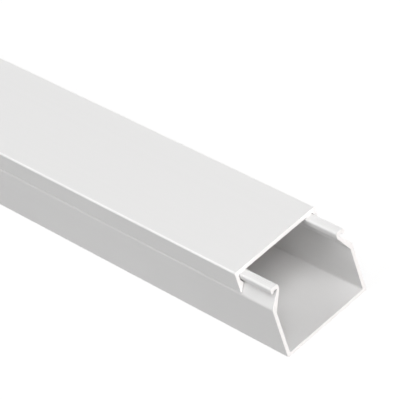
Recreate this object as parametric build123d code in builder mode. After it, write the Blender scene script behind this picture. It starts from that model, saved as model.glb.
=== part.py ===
"""Cord cover raceway: a rigid PVC base channel with hooked lips and a lid that snaps over them.

Both pieces are straight extrusions along X. The base lies on its flat back at Z = 0,
with Y across it and the origin at the middle of the back. All sizes are millimetres.
"""

import os

from build123d import *

# Length of stock, and how far the lid stands back from the base's +X end
length = 400.0
lid_setback = 11.8

# Base channel: straight side walls, then a neck that leans in to the lip
width = 30.0
wall = 1.1
floor = 1.1
wall_height = 16.9
shoulder_web = 1.4
neck_height = 5.15

# Lip on each side wall, with a bead along its outer edge that hooks the lid
lip_thickness = 1.2
lip_width = 2.85
bead_width = 0.85
bead_drop = 0.6
notch_width = 1.3

# Snap lid: flat top, side skirts, and a barb inside each skirt
lid_top = 1.25
lid_side = 1.0
skirt_gap = 0.75
barb_hook = 1.3

# Fits between the lid and the base
lid_inset = 0.1
side_clearance = 0.2
catch_clearance = 0.15
barb_clearance = 0.2

# Rounding of the extruded edges
back_edge_radius = 0.6
floor_corner_radius = 0.5
shoulder_radius = 1.5
shoulder_inner_radius = 0.8
lip_inner_radius = 0.8
lip_edge_radius = 0.6
notch_radius = 0.2
lid_edge_radius = 0.5
barb_tip_radius = 0.15

# Heights above the back
lip_underside = wall_height + neck_height
lip_top = lip_underside + lip_thickness
bead_bottom = lip_underside - bead_drop
lid_height = lip_top + lid_top
skirt_bottom = wall_height + skirt_gap
catch_height = bead_bottom - catch_clearance
barb_tip_height = catch_height - barb_hook

# Distances from the middle plane, worked inwards from the outer face of the base
half_width = width / 2
lid_outer = half_width - lid_inset
lid_inner = lid_outer - lid_side
bead_outer = lid_inner - side_clearance
bead_inner = bead_outer - bead_width
bead_radius = 0.45 * bead_width
neck_outer = bead_inner - notch_width
lip_inner = bead_outer - lip_width


def neck_face(height):
    """Distance of the neck's outer face from the middle plane at a height above the back."""
    rise = (height - wall_height) / neck_height
    return half_width - rise * (half_width - neck_outer)


# Base channel: half of the section, from the middle of the back round to the floor
with BuildPart() as base_channel:
    with BuildSketch(Plane.YZ):
        with BuildLine():
            base_half = FilletPolyline(
                (0, 0),
                (half_width, 0),
                (half_width, wall_height),
                (neck_outer, lip_underside),
                (bead_inner, lip_underside),
                (bead_inner, bead_bottom),
                (bead_outer, bead_bottom),
                (bead_outer, lip_top),
                (lip_inner, lip_top),
                (lip_inner, bead_bottom),
                (half_width - wall, wall_height - shoulder_web),
                (half_width - wall, floor),
                (0, floor),
                radius=[
                    back_edge_radius,
                    shoulder_radius,
                    notch_radius,
                    notch_radius,
                    bead_radius,
                    bead_radius,
                    lip_edge_radius,
                    lip_inner_radius,
                    0,
                    shoulder_inner_radius,
                    floor_corner_radius,
                ],
            )
            mirror(base_half, about=Plane.YZ)
        make_face()
    extrude(amount=length / 2, both=True)

# Snap lid: half of the section, from the middle of the top round its skirt and barb
with BuildPart() as snap_lid:
    with BuildSketch(Plane.YZ.offset(-lid_setback)):
        with BuildLine():
            lid_half = FilletPolyline(
                (0, lid_height),
                (lid_outer, lid_height),
                (lid_outer, skirt_bottom),
                (neck_face(skirt_bottom) + barb_clearance, skirt_bottom),
                (neck_face(barb_tip_height) + barb_clearance, barb_tip_height),
                (lid_inner, catch_height),
                (lid_inner, lip_top),
                (0, lip_top),
                radius=[lid_edge_radius, 0, 0, barb_tip_radius, 0, lip_edge_radius],
            )
            mirror(lid_half, about=Plane.YZ)
        make_face()
    extrude(amount=length / 2, both=True)

base_channel.part.label = "base_channel"
snap_lid.part.label = "snap_lid"

os.makedirs("parts", exist_ok=True)
export_step(base_channel.part, "parts/base_channel.step")
export_step(snap_lid.part, "parts/snap_lid.step")
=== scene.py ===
"""Looks, studio and camera for the cord cover raceway: a base channel and the lid that snaps over its lips.

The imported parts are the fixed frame. Each extrusion is made again here with fine rounding, sawn ends and the
lines that extruding leaves, and stands for its part. Sections are in millimetres, the scene is in metres.
"""

from __future__ import annotations

import logging
import math
from dataclasses import dataclass
from enum import Enum

import bmesh
import bpy
from mathutils import Matrix, Vector

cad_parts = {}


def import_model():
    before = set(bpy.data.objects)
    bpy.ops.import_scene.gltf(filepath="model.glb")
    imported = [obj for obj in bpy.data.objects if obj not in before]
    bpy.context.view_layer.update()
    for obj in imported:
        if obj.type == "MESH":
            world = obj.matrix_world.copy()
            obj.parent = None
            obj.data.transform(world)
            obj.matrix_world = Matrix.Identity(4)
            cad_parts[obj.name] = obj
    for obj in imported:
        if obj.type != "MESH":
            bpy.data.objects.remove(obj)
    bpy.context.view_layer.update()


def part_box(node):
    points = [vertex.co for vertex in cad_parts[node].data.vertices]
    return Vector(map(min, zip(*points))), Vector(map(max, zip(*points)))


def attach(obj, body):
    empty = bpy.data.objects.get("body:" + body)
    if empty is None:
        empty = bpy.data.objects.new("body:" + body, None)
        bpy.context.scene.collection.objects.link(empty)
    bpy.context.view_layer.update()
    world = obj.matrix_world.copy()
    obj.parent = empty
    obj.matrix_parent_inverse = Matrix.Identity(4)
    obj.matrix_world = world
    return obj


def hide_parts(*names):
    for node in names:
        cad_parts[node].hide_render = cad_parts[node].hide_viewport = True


LOG = logging.getLogger("raceway")
MM = 0.001

# The mesh attribute that carries how much each point is rubbed smooth and painted pale as a highlight
RUB_AND_HIGHLIGHT = "rub_and_highlight"

# Places of a Mix node's colour sockets, which share their names with other sockets of the node
MIX_FACTOR, MIX_FIRST, MIX_SECOND, MIX_RESULT = 0, 6, 7, 2

# The least cosine that an inset divides by, so that the point of a sharp corner doesn't run far off
LEAST_COSINE = 0.4

Colour = tuple[float, float, float]
Range = tuple[float, float]
Tree = bpy.types.NodeTree
Socket = bpy.types.NodeSocket

WHITE: Colour = (1.0, 1.0, 1.0)
WHOLE: Range = (0.0, 1.0)


class Carrier(Enum):
    """The bodies that pieces ride on."""

    BASE = "base"
    LID = "lid"


class Flow(Enum):
    """Which way a socket of an effect's node group carries its value."""

    IN = "INPUT"
    OUT = "OUTPUT"


class Operation(Enum):
    """What a math node does with its inputs."""

    ADD = "ADD"
    MULTIPLY = "MULTIPLY"
    MAXIMUM = "MAXIMUM"
    ABSOLUTE = "ABSOLUTE"


@dataclass(frozen=True)
class Corner:
    """A corner of a section, in millimetres.

    Attributes:
        across: Its place across the section.
        up: Its place up the section.
        radius: The radius that rounds it.
        rub_and_highlight: How much handling has rubbed it smooth and how far it is painted pale as a
            highlight, from 0 to 1.
    """

    across: float
    up: float
    radius: float = 0.0
    rub_and_highlight: float = 0.0

    def mirrored(self) -> Corner:
        """The same corner on the other side of the middle plane."""
        return Corner(-self.across, self.up, self.radius, self.rub_and_highlight)

    def point(self) -> Vector:
        """The corner's place before rounding."""
        return Vector((self.across, self.up))


@dataclass(frozen=True)
class OutlinePoint:
    """A point of a rounded outline: its place in millimetres, and how much it is rubbed and painted pale as a
    highlight.
    """

    place: Vector
    rub_and_highlight: float


@dataclass(frozen=True)
class Section:
    """Closed outline of an extrusion that is the same on both sides of its middle plane.

    Attributes:
        half: The corners on the +Y side, anticlockwise as seen from the +X end.
        arc_step: The largest turn between two points of a rounded corner, in degrees.
    """

    half: tuple[Corner, ...]
    arc_step: float = 9.0

    def outline(self) -> list[OutlinePoint]:
        """Rounds the corners of the whole section.

        Returns:
            The outline's points, anticlockwise as seen from the +X end.
        """
        loop = [*self.half, *(corner.mirrored() for corner in reversed(self.half))]
        points: list[OutlinePoint] = []
        for place, corner in enumerate(loop):
            points += self._rounded(loop[place - 1], corner, loop[(place + 1) % len(loop)])
        return points

    def _rounded(self, before: Corner, corner: Corner, after: Corner) -> list[OutlinePoint]:
        """Replaces a corner by points on the arc that rounds it.

        Args:
            before: The corner before this one.
            corner: The corner to round.
            after: The corner after this one.

        Returns:
            The points of the arc, or the corner's own point where it is left sharp.
        """
        at = corner.point()
        if corner.radius <= 0:
            return [OutlinePoint(at, corner.rub_and_highlight)]
        back = (before.point() - at).normalized()
        ahead = (after.point() - at).normalized()
        half_angle = back.angle(ahead) / 2
        centre = at + (back + ahead).normalized() * corner.radius / math.sin(half_angle)
        start = at + back * corner.radius / math.tan(half_angle) - centre
        turn = math.pi - 2 * half_angle
        if back.x * ahead.y - back.y * ahead.x > 0:
            turn = -turn
        steps = max(1, math.ceil(abs(turn) / math.radians(self.arc_step)))
        places = [centre + Matrix.Rotation(turn * step / steps, 2) @ start for step in range(steps + 1)]
        return [
            OutlinePoint(place, corner.rub_and_highlight if 0 < step < steps else 0.0) for step, place in enumerate(places)
        ]

    @staticmethod
    def inset(points: list[Vector], distance: float) -> list[Vector]:
        """Moves an outline into its own material.

        Args:
            points: The outline, anticlockwise.
            distance: How far it moves, in millimetres.

        Returns:
            The moved outline, with one point for each point of the first.
        """
        moved = []
        for place, point in enumerate(points):
            into = (point - points[place - 1]).normalized().orthogonal()
            out_of = (points[(place + 1) % len(points)] - point).normalized().orthogonal()
            middle = (into + out_of).normalized()
            moved.append(point + middle * distance / max(LEAST_COSINE, middle.dot(into)))
        return moved


def opaque(colour: Colour) -> tuple[float, float, float, float]:
    """The colour with full alpha, as a socket takes it."""
    return (*colour, 1.0)


def socket(tree: Tree, name: str, flow: Flow, value: float = 0.0) -> None:
    """Adds a named value socket to a node group.

    Args:
        tree: The node group.
        name: The socket's name.
        flow: Whether it goes in or out.
        value: The value of an input that nothing is linked to.
    """
    made = tree.interface.new_socket(name=name, in_out=flow.value, socket_type="NodeSocketFloat")
    if flow is Flow.IN:
        made.default_value = value


def math_node(tree: Tree, operation: Operation, first: Socket, second: Socket | float = 0.0) -> Socket:
    """Adds a math node.

    Args:
        tree: The tree that it goes in.
        operation: What it does.
        first: The first input's source.
        second: The second input's source or value.

    Returns:
        The node's output.
    """
    node = tree.nodes.new("ShaderNodeMath")
    node.operation = operation.value
    tree.links.new(first, node.inputs[0])
    if isinstance(second, Socket):
        tree.links.new(second, node.inputs[1])
    else:
        node.inputs[1].default_value = second
    return node.outputs[0]


def ranged(tree: Tree, source: Socket, take: Range, give: Range = WHOLE) -> Socket:
    """Maps a value from one range to another, smoothly and held at both ends.

    Args:
        tree: The tree that the node goes in.
        source: The value's source.
        take: The range that is taken.
        give: The range that it becomes.

    Returns:
        The mapped value.
    """
    node = tree.nodes.new("ShaderNodeMapRange")
    node.interpolation_type = "SMOOTHSTEP"
    tree.links.new(source, node.inputs["Value"])
    for name, value in zip(("From Min", "From Max", "To Min", "To Max"), (*take, *give)):
        node.inputs[name].default_value = value
    return node.outputs["Result"]


def noise_node(tree: Tree, place: Socket, scale: Socket, detail: float) -> Socket:
    """Adds a noise texture.

    Args:
        tree: The tree that it goes in.
        place: The source of the place that it is read at.
        scale: The source of how many times it changes in a metre.
        detail: How many finer layers of noise it holds.

    Returns:
        The noise.
    """
    node = tree.nodes.new("ShaderNodeTexNoise")
    node.inputs["Detail"].default_value = detail
    tree.links.new(place, node.inputs["Vector"])
    tree.links.new(scale, node.inputs["Scale"])
    return node.outputs["Fac"]


def tinted(tree: Tree, factor: Socket, first: Socket | Colour, second: Colour) -> Socket:
    """Mixes a colour into another by a mask.

    Args:
        tree: The tree that the node goes in.
        factor: The mask, 0 for the first colour and 1 for the second.
        first: The first colour or its source.
        second: The second colour.

    Returns:
        The mixed colour.
    """
    node = tree.nodes.new("ShaderNodeMix")
    node.data_type = "RGBA"
    tree.links.new(factor, node.inputs[MIX_FACTOR])
    if isinstance(first, Socket):
        tree.links.new(first, node.inputs[MIX_FIRST])
    else:
        node.inputs[MIX_FIRST].default_value = opaque(first)
    node.inputs[MIX_SECOND].default_value = opaque(second)
    return node.outputs[MIX_RESULT]


@dataclass(frozen=True)
class EffectGroup:
    """A shader effect that both plastics use, built once as a node group of this name."""

    name: str

    def tree(self) -> Tree:
        """The effect's node group, built on its first use."""
        return bpy.data.node_groups.get(self.name) or self._built()

    def _built(self) -> Tree:
        """Makes the group with its sockets and nodes.

        Returns:
            The new node group.
        """
        tree = bpy.data.node_groups.new(self.name, "ShaderNodeTree")
        self.fill(tree)
        return tree

    def fill(self, tree: Tree) -> None:
        """Adds the effect's sockets and nodes; each effect has its own."""
        raise NotImplementedError

    def placed(self, tree: Tree) -> bpy.types.Node:
        """Places the effect in a material.

        Args:
            tree: The material's node tree.

        Returns:
            The group node.
        """
        node = tree.nodes.new("ShaderNodeGroup")
        node.node_tree = self.tree()
        node.label = self.name
        return node


@dataclass(frozen=True)
class ExtrusionLines(EffectGroup):
    """Fine lines that the die leaves along the stock, in two widths.

    Attributes:
        lines_per_metre: Fineness of the narrow lines, where the material gives no other.
        waver: How much the lines change along the stock, as a share of how they change across it.
        widths: Fineness of the narrow and the wide lines, as a share of the narrow ones.
        detail: How many finer layers the lines hold.
        spread: The part of the noise that becomes the whole range of the lines.
    """

    name: str = "extrusion lines"
    lines_per_metre: float = 900.0
    waver: float = 0.004
    widths: tuple[float, float] = (1.0, 0.2)
    detail: float = 3.0
    spread: Range = (0.3, 0.7)

    def fill(self, tree: Tree) -> None:
        """Stretches noise along the stock, so that it only changes quickly across it.

        Args:
            tree: The group to fill.
        """
        socket(tree, "Lines per metre", Flow.IN, self.lines_per_metre)
        socket(tree, "Waver", Flow.IN, self.waver)
        socket(tree, "Lines", Flow.OUT)
        given = tree.nodes.new("NodeGroupInput")
        place = tree.nodes.new("ShaderNodeTexCoord")
        apart = tree.nodes.new("ShaderNodeSeparateXYZ")
        drawn = tree.nodes.new("ShaderNodeCombineXYZ")
        tree.links.new(place.outputs["Object"], apart.inputs[0])
        along = math_node(tree, Operation.MULTIPLY, apart.outputs["X"], given.outputs["Waver"])
        tree.links.new(along, drawn.inputs["X"])
        tree.links.new(apart.outputs["Y"], drawn.inputs["Y"])
        tree.links.new(apart.outputs["Z"], drawn.inputs["Z"])
        halves = []
        for share in self.widths:
            scale = math_node(tree, Operation.MULTIPLY, given.outputs["Lines per metre"], share)
            noise = noise_node(tree, drawn.outputs[0], scale, self.detail)
            halves.append(math_node(tree, Operation.MULTIPLY, noise, 1 / len(self.widths)))
        lines = math_node(tree, Operation.ADD, *halves)
        result = tree.nodes.new("NodeGroupOutput")
        tree.links.new(ranged(tree, lines, self.spread), result.inputs["Lines"])


@dataclass(frozen=True)
class SawnEnd(EffectGroup):
    """The cut faces at the ends of the stock, with the marks of a fine saw.

    Attributes:
        marks_per_metre: Fineness of the saw marks.
        along: How squarely a face looks along the stock when it first counts as cut, and when it fully does.
        waviness: How far the marks stray from straight lines.
        waviness_scale: How quickly they stray.
    """

    name: str = "sawn end"
    marks_per_metre: float = 2200.0
    along: Range = (0.4, 0.8)
    waviness: float = 2.5
    waviness_scale: float = 0.6

    def fill(self, tree: Tree) -> None:
        """Masks the faces that point along the stock and draws saw marks over them.

        Args:
            tree: The group to fill.
        """
        socket(tree, "Marks per metre", Flow.IN, self.marks_per_metre)
        socket(tree, "Cut", Flow.OUT)
        socket(tree, "Marks", Flow.OUT)
        given = tree.nodes.new("NodeGroupInput")
        place = tree.nodes.new("ShaderNodeTexCoord")
        facing = tree.nodes.new("ShaderNodeSeparateXYZ")
        tree.links.new(place.outputs["Normal"], facing.inputs[0])
        straight = math_node(tree, Operation.ABSOLUTE, facing.outputs["X"])
        cut = ranged(tree, straight, self.along)
        wave = tree.nodes.new("ShaderNodeTexWave")
        wave.bands_direction = "Z"
        wave.inputs["Distortion"].default_value = self.waviness
        wave.inputs["Detail Scale"].default_value = self.waviness_scale
        tree.links.new(place.outputs["Object"], wave.inputs["Vector"])
        tree.links.new(given.outputs["Marks per metre"], wave.inputs["Scale"])
        marks = math_node(tree, Operation.MULTIPLY, wave.outputs["Fac"], cut)
        result = tree.nodes.new("NodeGroupOutput")
        tree.links.new(cut, result.inputs["Cut"])
        tree.links.new(marks, result.inputs["Marks"])


@dataclass(frozen=True)
class Handling(EffectGroup):
    """Soft patches where handling has polished the plastic, and a fine grain over all of it.

    Attributes:
        patches_per_metre: Fineness of the polished patches.
        grains_per_metre: Fineness of the grain.
        detail: How many finer layers both hold.
        spread: The part of the noise that becomes the whole range of each.
    """

    name: str = "handling"
    patches_per_metre: float = 26.0
    grains_per_metre: float = 2600.0
    detail: float = 3.0
    spread: Range = (0.35, 0.65)

    def fill(self, tree: Tree) -> None:
        """Draws wide soft patches and a fine even grain.

        Args:
            tree: The group to fill.
        """
        fineness = {"Patches": self.patches_per_metre, "Grains": self.grains_per_metre}
        for name, per_metre in fineness.items():
            socket(tree, f"{name} per metre", Flow.IN, per_metre)
            socket(tree, name, Flow.OUT)
        given = tree.nodes.new("NodeGroupInput")
        result = tree.nodes.new("NodeGroupOutput")
        place = tree.nodes.new("ShaderNodeTexCoord")
        for name in fineness:
            noise = noise_node(tree, place.outputs["Object"], given.outputs[f"{name} per metre"], self.detail)
            tree.links.new(ranged(tree, noise, self.spread), result.inputs[name])


@dataclass(frozen=True)
class RubbedEdgeAndHighlight(EffectGroup):
    """The outer edges that handling rubs smooth and that are painted pale as a highlight, more in some places
    than in others.

    Attributes:
        changes_per_metre: How often the rub changes along an edge.
        detail: How many finer layers the changes hold.
        spread: The part of the noise that becomes the whole change.
        strength: The least and the most of an edge's rub and painted highlight that shows.
    """

    name: str = "rubbed edge and painted highlight"
    changes_per_metre: float = 60.0
    detail: float = 2.0
    spread: Range = (0.35, 0.6)
    strength: Range = (0.7, 1.0)

    def fill(self, tree: Tree) -> None:
        """Takes the rub and painted highlight that the mesh carries and varies it along the stock.

        Args:
            tree: The group to fill.
        """
        socket(tree, "Changes per metre", Flow.IN, self.changes_per_metre)
        socket(tree, "Rub_and_highlight", Flow.OUT)
        given = tree.nodes.new("NodeGroupInput")
        # The mesh carries where the edges are painted pale as a highlight
        carried = tree.nodes.new("ShaderNodeAttribute")
        carried.attribute_name = RUB_AND_HIGHLIGHT
        place = tree.nodes.new("ShaderNodeTexCoord")
        noise = noise_node(tree, place.outputs["Object"], given.outputs["Changes per metre"], self.detail)
        uneven = ranged(tree, noise, self.spread, self.strength)
        rub_and_highlight = math_node(tree, Operation.MULTIPLY, carried.outputs["Fac"], uneven)
        result = tree.nodes.new("NodeGroupOutput")
        tree.links.new(rub_and_highlight, result.inputs["Rub_and_highlight"])


@dataclass(frozen=True)
class RigidPlastic:
    """White rigid PVC as extruded: satin, faintly lined along its length, paler and rougher where it is sawn,
    with its outer edges painted pale as a highlight.

    Attributes:
        name: The material's name.
        colour: The plastic's own colour.
        streak: The colour in the lines that the die leaves.
        sawn: The colour of a sawn face.
        rubbed_and_highlight: The colour of a rubbed edge, paler partly as rubbed wear and partly as a painted
            highlight.
        refraction: The plastic's index of refraction.
        roughness: Roughness where handling has polished it least and most.
        sawn_roughness: How much rougher a sawn face is.
        rubbed_roughness: The change in roughness at a rubbed edge, below zero where it is smoother.
        lines_per_metre: Fineness of the extrusion lines.
        relief: Depth of the extrusion lines and saw marks, in millimetres.
        grain: Depth of the fine grain, as a share of that.
    """

    name: str
    colour: Colour = (0.84, 0.84, 0.838)
    streak: Colour = (0.832, 0.832, 0.829)
    sawn: Colour = (0.93, 0.93, 0.927)
    rubbed_and_highlight: Colour = (0.96, 0.96, 0.957)
    refraction: float = 1.5
    roughness: Range = (0.5, 0.42)
    sawn_roughness: float = 0.22
    rubbed_roughness: float = -0.14
    lines_per_metre: float = 900.0
    relief: float = 0.003
    grain: float = 0.3

    def material(self) -> bpy.types.Material:
        """Builds the material from the shared effects.

        Returns:
            The new material.
        """
        made = bpy.data.materials.new(self.name)
        made.use_nodes = True
        tree = made.node_tree
        plastic = tree.nodes["Principled BSDF"]
        plastic.inputs["IOR"].default_value = self.refraction
        drawn = ExtrusionLines().placed(tree)
        drawn.inputs["Lines per metre"].default_value = self.lines_per_metre
        lines = drawn.outputs["Lines"]
        sawn = SawnEnd().placed(tree)
        cut = sawn.outputs["Cut"]
        handling = Handling().placed(tree)
        rub_and_highlight = RubbedEdgeAndHighlight().placed(tree).outputs["Rub_and_highlight"]
        colour = tinted(tree, lines, self.colour, self.streak)
        # The edges are painted pale here: partly rubbed wear, partly a painted highlight
        colour = tinted(tree, rub_and_highlight, colour, self.rubbed_and_highlight)
        colour = tinted(tree, cut, colour, self.sawn)
        tree.links.new(colour, plastic.inputs["Base Color"])
        polish = ranged(tree, handling.outputs["Patches"], WHOLE, self.roughness)
        rougher = math_node(tree, Operation.MULTIPLY, cut, self.sawn_roughness)
        smoother = math_node(tree, Operation.MULTIPLY, rub_and_highlight, self.rubbed_roughness)
        polish = math_node(tree, Operation.ADD, polish, smoother)
        polish = math_node(tree, Operation.ADD, polish, rougher)
        tree.links.new(polish, plastic.inputs["Roughness"])
        relief = math_node(tree, Operation.ADD, lines, sawn.outputs["Marks"])
        grain = math_node(tree, Operation.MULTIPLY, handling.outputs["Grains"], self.grain)
        bump = tree.nodes.new("ShaderNodeBump")
        bump.inputs["Strength"].default_value = 1.0
        bump.inputs["Distance"].default_value = self.relief * MM
        tree.links.new(math_node(tree, Operation.ADD, relief, grain), bump.inputs["Height"])
        tree.links.new(bump.outputs["Normal"], plastic.inputs["Normal"])
        return made


def linked(name: str, data: bpy.types.ID) -> bpy.types.Object:
    """Makes an object and links it into the scene.

    Args:
        name: The object's name.
        data: Its mesh, lamp or camera.

    Returns:
        The object.
    """
    made = bpy.data.objects.new(name, data)
    bpy.context.scene.collection.objects.link(made)
    return made


@dataclass
class Extrusion:
    """A straight length of stock with sawn ends, swept between the ends of the part that it stands for.

    Attributes:
        name: The piece's name.
        node: The part that it stands for.
        slot: The record's material slot; not used.
        carrier: The body that it rides on.
        finish: Its plastic.
        edge_break: How far the saw leaves the edges of an end broken, in millimetres.
        ring_spacing: The most that two rings of points lie apart along the stock, in millimetres.
        sharp: The turn above which an edge shades sharp, in degrees.
        flat_weight: How much more a large face counts in the shading than a small one, from 1 to 100.
    """

    name: str
    node: str
    slot: str
    carrier: Carrier
    finish: RigidPlastic
    edge_break: float = 0.06
    ring_spacing: float = 20.0
    sharp: float = 32.0
    flat_weight: int = 80

    def section(self) -> Section:
        """The section that is swept; each extrusion has its own."""
        raise NotImplementedError

    def build(self) -> bpy.types.Object:
        """Makes the piece, dresses it and puts it in the place of its part.

        Returns:
            The finished piece.
        """
        mesh = bpy.data.meshes.new(self.name)
        self._sweep(mesh)
        piece = linked(self.name, mesh)
        self.dress(piece)
        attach(piece, self.carrier.value)
        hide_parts(self.node)
        return piece

    def dress(self, piece: bpy.types.Object) -> None:
        """Gives the piece its plastic and a shading that keeps its flats flat.

        Args:
            piece: The piece to dress.
        """
        piece.data.materials.append(self.finish.material())
        piece.data.set_sharp_from_angle(angle=math.radians(self.sharp))
        flats = piece.modifiers.new("flat faces", "WEIGHTED_NORMAL")
        flats.keep_sharp = True
        flats.weight = self.flat_weight

    def _stations(self, outline: list[Vector]) -> list[tuple[float, list[Vector]]]:
        """Sets out the rings of points along the stock, with a broken edge at both ends.

        Args:
            outline: The section's outline.

        Returns:
            The place of each ring along the stock and its own outline, in millimetres.
        """
        low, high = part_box(self.node)
        first, last = low.x / MM, high.x / MM
        broken = Section.inset(outline, self.edge_break)
        count = math.ceil((last - first) / self.ring_spacing)
        start, stop = first + self.edge_break, last - self.edge_break
        between = [(start + (stop - start) * step / count, outline) for step in range(count + 1)]
        return [(first, broken), *between, (last, broken)]

    def _sweep(self, mesh: bpy.types.Mesh) -> None:
        """Sweeps the section along the stock and closes both ends.

        Args:
            mesh: The mesh to fill.
        """
        points = self.section().outline()
        stations = self._stations([point.place for point in points])
        shape = bmesh.new()
        rub_and_highlight = shape.verts.layers.float.new(RUB_AND_HIGHLIGHT)
        rings = [[shape.verts.new((x * MM, p.x * MM, p.y * MM)) for p in places] for x, places in stations]
        for ring in rings:
            for vertex, point in zip(ring, points):
                vertex[rub_and_highlight] = point.rub_and_highlight
        for ring, following in zip(rings, rings[1:]):
            for place in range(len(ring)):
                shape.faces.new((ring[place - 1], ring[place], following[place], following[place - 1]))
        shape.faces.new(rings[0])
        shape.faces.new(list(reversed(rings[-1])))
        bmesh.ops.recalc_face_normals(shape, faces=shape.faces)
        for face in shape.faces:
            face.smooth = True
        shape.to_mesh(mesh)
        shape.free()


@dataclass
class BaseChannel(Extrusion):
    """The base: flat back, straight walls, necks that lean in, and lips with a bead that hooks the lid.

    Sizes are in millimetres. Heights are above the back, and places are distances from the middle plane.

    Attributes:
        half_width: Place of the walls' outer faces.
        wall: Thickness of the walls.
        floor: Thickness of the floor.
        wall_height: Height of the shoulders, where the necks start to lean in.
        shoulder_web: How far a shoulder lies lower inside than outside.
        lip_underside: Height of the lips' underside.
        lip_top: Height of the lips' top.
        lip_width: Width of a lip.
        bead_outer: Place of the beads' outer faces.
        bead_width: Width of a bead.
        bead_drop: How far a bead hangs below its lip.
        notch_width: Width of the notch between a bead and its neck.
        line_places: Places of the shallow lines along a lip.
        line_width: Width of such a line.
        line_depth: Depth of such a line.
        line_radius: Radius at the edges and in the bottom of such a line.
        back_edge_radius: Radius of the back's edges.
        shoulder_radius: Radius of a shoulder outside.
        shoulder_inner_radius: Radius of a shoulder inside.
        notch_radius: Radius in the corners of a notch.
        bead_radius: Radius of a bead's lower edges.
        lip_edge_radius: Radius of a lip's outer edge.
        lip_edge_rub_and_highlight: How much that edge is rubbed and painted pale as a highlight, from 0 to 1.
        lip_inner_radius: Radius of a lip's inner edge.
        neck_inner_radius: Radius inside, where a neck reaches its lip.
        floor_corner_radius: Radius between a wall and the floor.
    """

    half_width: float = 15.0
    wall: float = 1.1
    floor: float = 1.1
    wall_height: float = 16.9
    shoulder_web: float = 1.4
    lip_underside: float = 22.05
    lip_top: float = 23.25
    lip_width: float = 2.85
    bead_outer: float = 13.7
    bead_width: float = 0.85
    bead_drop: float = 0.6
    notch_width: float = 1.3
    line_places: tuple[float, ...] = (12.9, 12.4, 11.9)
    line_width: float = 0.24
    line_depth: float = 0.03
    line_radius: float = 0.1
    back_edge_radius: float = 0.6
    shoulder_radius: float = 1.5
    shoulder_inner_radius: float = 0.8
    notch_radius: float = 0.2
    bead_radius: float = 0.38
    lip_edge_radius: float = 0.6
    lip_edge_rub_and_highlight: float = 0.6
    lip_inner_radius: float = 0.8
    neck_inner_radius: float = 0.3
    floor_corner_radius: float = 0.5

    def section(self) -> Section:
        """Draws the channel with its necks, lips and beads.

        Returns:
            The section, from the edge of the back round to the floor.
        """
        bead_inner = self.bead_outer - self.bead_width
        bead_bottom = self.lip_underside - self.bead_drop
        neck_outer = bead_inner - self.notch_width
        lip_inner = self.bead_outer - self.lip_width
        inside = self.half_width - self.wall
        return Section(
            (
                Corner(self.half_width, 0.0, self.back_edge_radius),
                Corner(self.half_width, self.wall_height, self.shoulder_radius),
                Corner(neck_outer, self.lip_underside, self.notch_radius),
                Corner(bead_inner, self.lip_underside, self.notch_radius),
                Corner(bead_inner, bead_bottom, self.bead_radius),
                Corner(self.bead_outer, bead_bottom, self.bead_radius),
                # The lip's outer edge is rubbed and painted pale as a highlight
                Corner(self.bead_outer, self.lip_top, self.lip_edge_radius, self.lip_edge_rub_and_highlight),
                *self._lip_lines(),
                Corner(lip_inner, self.lip_top, self.lip_inner_radius),
                Corner(lip_inner, bead_bottom, self.neck_inner_radius),
                Corner(inside, self.wall_height - self.shoulder_web, self.shoulder_inner_radius),
                Corner(inside, self.floor, self.floor_corner_radius),
            )
        )

    def _lip_lines(self) -> list[Corner]:
        """Draws the shallow lines along the top of a lip.

        Returns:
            The lines' corners, from the outermost line inwards.
        """
        corners = []
        for place in self.line_places:
            corners.append(Corner(place + self.line_width / 2, self.lip_top, self.line_radius))
            corners.append(Corner(place, self.lip_top - self.line_depth, self.line_radius))
            corners.append(Corner(place - self.line_width / 2, self.lip_top, self.line_radius))
        return corners


@dataclass
class SnapLid(Extrusion):
    """The lid: flat top, a skirt down each side, and a barb inside each skirt that catches under the bead.

    Sizes are in millimetres. Heights are above the back, and places are distances from the middle plane.

    Attributes:
        outer: Place of the skirts' outer faces.
        side: Thickness of the skirts.
        top: Height of the top.
        underside: Height of the top's underside, which lies on the lips.
        skirt_bottom: Height of the skirts' lower edges.
        catch_height: Height at which a barb leaves its skirt under the bead.
        barb_tip: Place and height of a barb's tip.
        barb_foot: Place of a barb's lower end.
        underside_radius: Radius between the top's underside and a skirt.
        barb_tip_radius: Radius of a barb's tip.
        barb_foot_radius: Radius of a barb's lower end.
        skirt_edge_radius: Radius of a skirt's lower outer edge.
        top_edge_radius: Radius of the top's edges.
        top_edge_rub_and_highlight: How much those edges are rubbed and painted pale as a highlight, from 0 to
            1.
    """

    outer: float = 15.0
    side: float = 1.1
    top: float = 24.5
    underside: float = 23.25
    skirt_bottom: float = 17.65
    catch_height: float = 21.3
    barb_tip: tuple[float, float] = (13.12, 20.0)
    barb_foot: float = 14.7
    underside_radius: float = 0.6
    barb_tip_radius: float = 0.15
    barb_foot_radius: float = 0.08
    skirt_edge_radius: float = 0.15
    top_edge_radius: float = 0.5
    top_edge_rub_and_highlight: float = 1.0

    def section(self) -> Section:
        """Draws the lid with its skirts and barbs.

        Returns:
            The section, from the corner under the top round to the edge of the top.
        """
        inner = self.outer - self.side
        return Section(
            (
                Corner(inner, self.underside, self.underside_radius),
                Corner(inner, self.catch_height),
                Corner(*self.barb_tip, self.barb_tip_radius),
                Corner(self.barb_foot, self.skirt_bottom, self.barb_foot_radius),
                Corner(self.outer, self.skirt_bottom, self.skirt_edge_radius),
                # The top's edges are rubbed and painted pale as a highlight
                Corner(self.outer, self.top, self.top_edge_radius, self.top_edge_rub_and_highlight),
            )
        )


@dataclass(frozen=True)
class Raceway:
    """The whole object: the base channel and its snap lid."""

    base: BaseChannel
    lid: SnapLid

    def build(self) -> list[bpy.types.Object]:
        """Builds the base and then the lid."""
        return [self.base.build(), self.lid.build()]


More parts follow.
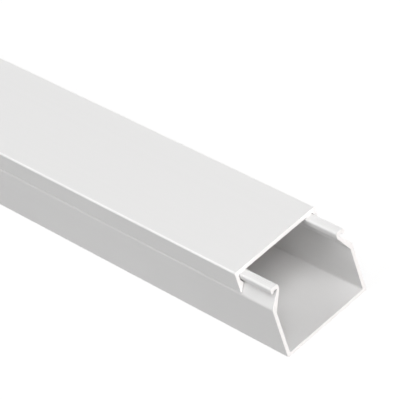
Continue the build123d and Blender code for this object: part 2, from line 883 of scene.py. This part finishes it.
def aimed(azimuth: float, elevation: float, roll: float = 0.0) -> Matrix:
    """Works out the turn of a lamp or camera that looks back at the point it stands around.

    Args:
        azimuth: Where it stands, in degrees: 0 is on the -Y side and 90 at the +X end.
        elevation: How high it stands, in degrees.
        roll: How far it is turned about its own line of sight, in degrees.

    Returns:
        The turn, with the line of sight along its own -Z.
    """
    turn = Matrix.Rotation(math.radians(azimuth), 4, "Z")
    turn @= Matrix.Rotation(math.radians(90 - elevation), 4, "X")
    return turn @ Matrix.Rotation(math.radians(roll), 4, "Z")


@dataclass(frozen=True)
class Softbox:
    """A square soft lamp that faces the stock.

    Attributes:
        name: The lamp's name.
        azimuth: Where it stands, in degrees: 0 is on the -Y side and 90 at the +X end.
        elevation: How high it stands, in degrees.
        level: The brightness that it alone gives a white card that faces it.
        side: Its side, in metres.
        distance: How far it stands from the middle of the stock, in metres.
        in_gloss: Whether gloss reflects it.
        colour: The colour of its light.
    """

    name: str
    azimuth: float
    elevation: float
    level: float
    side: float = 1.4
    distance: float = 2.4
    in_gloss: bool = True
    colour: Colour = WHITE

    def build(self) -> None:
        """Hangs the lamp."""
        data = bpy.data.lights.new(self.name, "AREA")
        data.size = self.side
        data.color = self.colour
        data.energy = self.level * math.pi**2 * self.distance**2
        lamp = linked(self.name, data)
        away = Matrix.Translation((0, 0, self.distance))
        lamp.matrix_world = aimed(self.azimuth, self.elevation) @ away
        lamp.visible_glossy = self.in_gloss


@dataclass(frozen=True)
class Studio:
    """Pale floor, white surroundings that show but give no light, and soft lamps.

    Attributes:
        lamps: The lamps.
        floor_colour: What the floor throws back on the stock.
        floor_glow: How much of its white the floor shows whatever falls on it.
        floor_shade: How much of its white depends on the light, so that the stock's shadow shows.
        floor_drop: How far the floor lies under the stock, in millimetres.
        reach: Half the side of the floor, in metres.
    """

    lamps: tuple[Softbox, ...]
    floor_colour: Colour = (0.35, 0.35, 0.35)
    floor_glow: float = 0.76
    floor_shade: Colour = (0.3, 0.3, 0.3)
    floor_drop: float = 0.05
    reach: float = 6.0

    def build(self) -> None:
        """Lays the floor, sets the surroundings and hangs the lamps."""
        self._lay_floor()
        self._set_surround()
        for lamp in self.lamps:
            lamp.build()

    @staticmethod
    def _seen(tree: Tree) -> Socket:
        """Adds a mask of the rays that show a surface.

        Args:
            tree: The tree that the nodes go in.

        Returns:
            A value of 1 for camera, glossy and transmission rays, and 0 for others.
        """
        ray = tree.nodes.new("ShaderNodeLightPath").outputs
        seen = math_node(tree, Operation.MAXIMUM, ray["Is Camera Ray"], ray["Is Glossy Ray"])
        return math_node(tree, Operation.MAXIMUM, seen, ray["Is Transmission Ray"])

    def _lay_floor(self) -> None:
        """Lays a wide floor just under the stock."""
        corners = [(-self.reach, -self.reach), (self.reach, -self.reach)]
        corners += [(self.reach, self.reach), (-self.reach, self.reach)]
        mesh = bpy.data.meshes.new("studio_floor")
        mesh.from_pydata([(x, y, -self.floor_drop * MM) for x, y in corners], [], [(0, 1, 2, 3)])
        mesh.materials.append(self._floor_paint())
        linked("studio_floor", mesh)

    def _floor_paint(self) -> bpy.types.Material:
        """Mixes a paint that shows white with a soft shadow, and throws back less light than it shows.

        Returns:
            The new material.
        """
        paint = bpy.data.materials.new("studio floor")
        paint.use_nodes = True
        tree = paint.node_tree
        tree.nodes.remove(tree.nodes["Principled BSDF"])
        plain, shaded = (tree.nodes.new("ShaderNodeBsdfDiffuse") for _ in range(2))
        plain.inputs["Color"].default_value = opaque(self.floor_colour)
        shaded.inputs["Color"].default_value = opaque(self.floor_shade)
        glow = tree.nodes.new("ShaderNodeEmission")
        glow.inputs["Strength"].default_value = self.floor_glow
        white = tree.nodes.new("ShaderNodeAddShader")
        tree.links.new(shaded.outputs[0], white.inputs[0])
        tree.links.new(glow.outputs[0], white.inputs[1])
        choice = tree.nodes.new("ShaderNodeMixShader")
        tree.links.new(self._seen(tree), choice.inputs[0])
        tree.links.new(plain.outputs[0], choice.inputs[1])
        tree.links.new(white.outputs[0], choice.inputs[2])
        tree.links.new(choice.outputs[0], tree.nodes["Material Output"].inputs["Surface"])
        return paint

    def _set_surround(self) -> None:
        """Surrounds the stock with white that the camera and gloss see, and that gives no light itself."""
        world = bpy.data.worlds.new("studio surround")
        world.use_nodes = True
        tree = world.node_tree
        background = tree.nodes["Background"]
        background.inputs["Color"].default_value = opaque(WHITE)
        tree.links.new(self._seen(tree), background.inputs["Strength"])
        bpy.context.scene.world = world


@dataclass(frozen=True)
class Viewpoint:
    """The camera, by where it stands and what is in the middle of its picture.

    Attributes:
        azimuth: Where it stands, in degrees: 0 is on the -Y side and 90 at the +X end.
        elevation: How high it stands, in degrees.
        roll: How far its picture is turned, in degrees.
        middle: The point in the middle of its picture, in millimetres.
        distance: How far it stands from that point, in millimetres.
        lens: Its focal length, in millimetres.
        sensor: The width of its sensor, in millimetres.
    """

    azimuth: float = 58.77
    elevation: float = 37.68
    roll: float = -19.04
    middle: tuple[float, float, float] = (173.2, -8.5, 38.4)
    distance: float = 750.0
    lens: float = 259.85
    sensor: float = 36.0

    def build(self) -> None:
        """Sets up the camera and makes it the scene's own."""
        data = bpy.data.cameras.new("viewpoint")
        data.lens = self.lens
        data.sensor_width = self.sensor
        camera = linked("viewpoint", data)
        turn = aimed(self.azimuth, self.elevation, self.roll)
        back = turn @ Vector((0, 0, self.distance * MM))
        camera.matrix_world = Matrix.Translation(Vector(self.middle) * MM + back) @ turn
        bpy.context.scene.camera = camera


def main() -> None:
    """Loads the frame, then builds the raceway, the studio and the camera."""
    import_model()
    logging.basicConfig(level=logging.INFO, format="%(name)s: %(message)s")
    bpy.context.scene.view_settings.view_transform = "Standard"
    raceway = Raceway(
        BaseChannel("raceway_base", "base_channel", "base_pvc", Carrier.BASE, RigidPlastic("base plastic")),
        SnapLid("raceway_lid", "snap_lid", "lid_pvc", Carrier.LID, RigidPlastic("lid plastic")),
    )
    for piece in raceway.build():
        LOG.info("%s: %d faces", piece.name, len(piece.data.polygons))
    warm = (1.0, 0.94, 0.92)
    lamps = (
        Softbox("key", azimuth=75.0, elevation=57.0, level=0.555),
        Softbox("low front", azimuth=86.0, elevation=9.0, level=0.48, side=0.7, in_gloss=False, colour=warm),
        Softbox("far front", azimuth=135.0, elevation=15.0, level=0.1, side=1.0),
        Softbox("far side", azimuth=180.0, elevation=6.0, level=0.28, side=0.45, in_gloss=False),
        Softbox("fill", azimuth=-10.0, elevation=40.0, level=0.345),
        Softbox("back", azimuth=-75.0, elevation=45.0, level=0.255, side=1.0),
    )
    Studio(lamps).build()
    Viewpoint().build()


if __name__ == "__main__":
    main()
